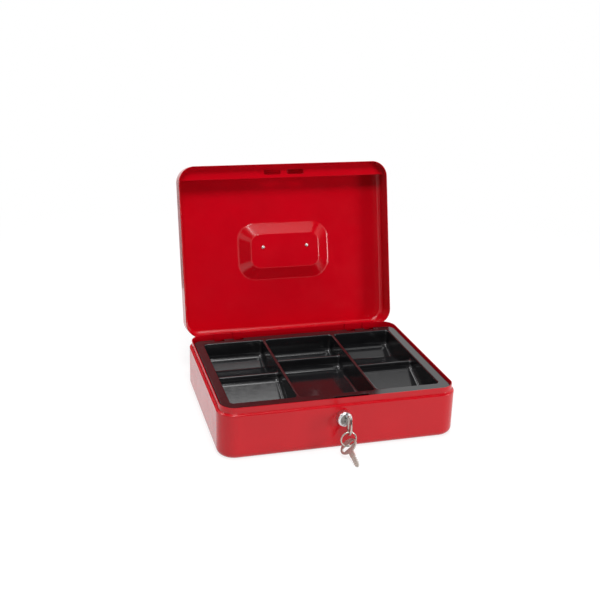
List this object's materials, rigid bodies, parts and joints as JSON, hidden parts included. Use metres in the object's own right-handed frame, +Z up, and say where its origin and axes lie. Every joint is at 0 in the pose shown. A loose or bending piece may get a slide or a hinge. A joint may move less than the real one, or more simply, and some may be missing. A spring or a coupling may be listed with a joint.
{
  "type": "cash box",
  "caption": "Open sheet-steel cash box with a hinged lid, folding handle, lift-out coin tray and a keyed hook lock with its keys on a ring.",
  "frame": {"origin": "on the standing surface, under the middle of the base", "axes": "+X to the right seen from the keyhole side, +Y to the hinge side, +Z up"},
  "size_m": [0.3, 0.3727, 0.2883],
  "materials": {
    "red_enamel": "gloss enamel with a fine orange-peel texture",
    "black_plastic": "glossy moulded plastic",
    "chrome": "bright nickel and chrome plating",
    "plated_steel": "zinc plated steel",
    "key_metal": "nickel plated brass, worn on the edges"
  },
  "bodies": {
    "base": {"base_shell": "red_enamel", "tray_rest_left": "red_enamel", "tray_rest_right": "red_enamel", "hinge_base_leaf_left": "red_enamel", "hinge_base_leaf_right": "red_enamel", "hinge_pin_left": "plated_steel", "hinge_pin_right": "plated_steel", "lock_barrel": "chrome", "lock_nut": "plated_steel"},
    "lid": {"lid_shell": "red_enamel", "lock_strip": "red_enamel", "hinge_lid_leaf_left": "red_enamel", "hinge_lid_leaf_right": "red_enamel", "handle_posts": "chrome", "handle_rivets": "plated_steel"},
    "handle": {"handle_bail": "chrome"},
    "tray": {"coin_tray": "black_plastic"},
    "lock_core": {"lock_plug": "chrome", "lock_cam": "plated_steel", "cam_screw": "plated_steel"},
    "key_in_lock": {"key": "key_metal"},
    "ring": {"key_ring": "key_metal"},
    "spare": {"spare_key": "key_metal"}
  },
  "joints": [
    {"name": "lid_hinge", "type": "hinge", "parent": "base", "child": "lid", "pos_m": [0, 0.1201, 0.057], "axis": [-1, 0, 0], "range_deg": [-103.4, 0]},
    {"name": "handle_fold", "type": "hinge", "parent": "lid", "child": "handle", "pos_m": [0, 0.17369, 0.16975], "axis": [1, 0, 0], "range_deg": [-13.4, 90]},
    {"name": "key_turn", "type": "hinge", "parent": "base", "child": "lock_core", "pos_m": [0, -0.128, 0.0425], "axis": [0, -1, 0], "range_deg": [0, 90]},
    {"name": "key_pull", "type": "slide", "parent": "lock_core", "child": "key_in_lock", "axis": [0, -1, 0], "range_m": [0, 0.018]},
    {"name": "ring_swing", "type": "hinge", "parent": "key_in_lock", "child": "ring", "pos_m": [0, -0.1408, 0.03375], "axis": [-1, 0, 0], "range_deg": [-12, 60]},
    {"name": "spare_key_swing", "type": "hinge", "parent": "ring", "child": "spare", "pos_m": [0, -0.1408, 0.01535], "axis": [-1, 0, 0], "range_deg": [0, 50]},
    {"name": "tray_lift", "type": "slide", "parent": "base", "child": "tray", "axis": [0, 0, 1], "range_m": [0, 0.06]}
  ]
}
